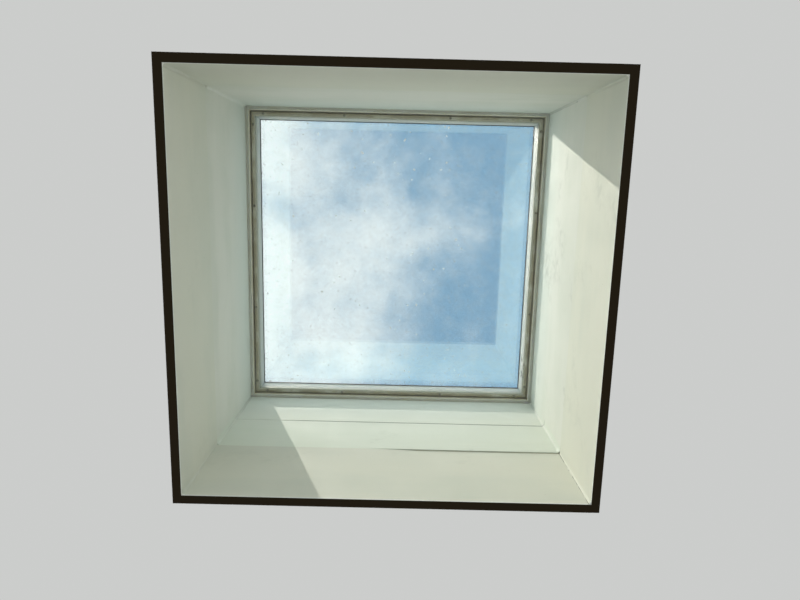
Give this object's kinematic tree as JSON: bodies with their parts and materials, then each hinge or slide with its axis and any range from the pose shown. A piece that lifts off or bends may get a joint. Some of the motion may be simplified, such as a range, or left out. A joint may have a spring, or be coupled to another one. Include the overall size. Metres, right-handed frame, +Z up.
{
  "type": "roof skylight",
  "caption": "Fixed square double-glazed roof skylight on a timber curb, with its frame, cladding and boarded light well.",
  "frame": {"origin": "centre of the light well's lower rim, in the plane of the ceiling", "axes": "+Z up through the well to the glass, X and Y square to the well's sides; -Y is the top of the reference picture"},
  "size_m": [0.7236, 0.6716, 0.4602],
  "materials": {
    "painted_board": "satin white paint on plywood, thin lap marks and smudges",
    "curb_timber": "planed softwood, painted satin white on the inner face, bare outside",
    "caulk": "paintable sealant, satin",
    "galvanized_steel": "galvanized, soft spangle",
    "zinc_screw": "zinc plated",
    "frame_screw": "dulled zinc",
    "foam": "closed-cell foam, matte",
    "frame_pvc": "white PVC, satin, slightly yellowed",
    "dark_rubber": "black rubber, matte",
    "glass": "clear float glass, dusty on the outside",
    "spacer_aluminium": "mill finish",
    "desiccant": "small beads, matte",
    "butyl": "black butyl",
    "edge_sealant": "dark grey sealant",
    "cladding": "dark grey coated aluminium, satin"
  },
  "bodies": {
    "root": {"lining_left": "painted_board", "lining_right": "painted_board", "lining_front": "painted_board", "lining_back": "painted_board", "lining_screws": "zinc_screw", "curb_left": "curb_timber", "curb_right": "curb_timber", "curb_front": "curb_timber", "curb_back_lower": "curb_timber", "curb_back_upper": "curb_timber", "curb_corner_screws": "zinc_screw", "corner_caulk": "caulk", "curb_cleat_front_left": "galvanized_steel", "curb_cleat_front_right": "galvanized_steel", "curb_cleat_back_left": "galvanized_steel", "curb_cleat_back_right": "galvanized_steel", "cleat_screws": "zinc_screw", "curb_gasket": "foam", "inner_frame": "frame_pvc", "frame_bars": "galvanized_steel", "frame_screws": "frame_screw", "inner_gasket": "dark_rubber", "inner_pane": "glass", "outer_pane": "glass", "spacer_bar": "spacer_aluminium", "desiccant": "desiccant", "primary_seal": "butyl", "secondary_seal": "edge_sealant", "setting_blocks": "dark_rubber", "outer_gasket": "dark_rubber", "cladding_left": "cladding", "cladding_right": "cladding", "cladding_front": "cladding", "cladding_back": "cladding", "corner_keys": "spacer_aluminium", "sealing_washers": "dark_rubber", "curb_fixing_screws": "zinc_screw"}
  },
  "joints": []
}
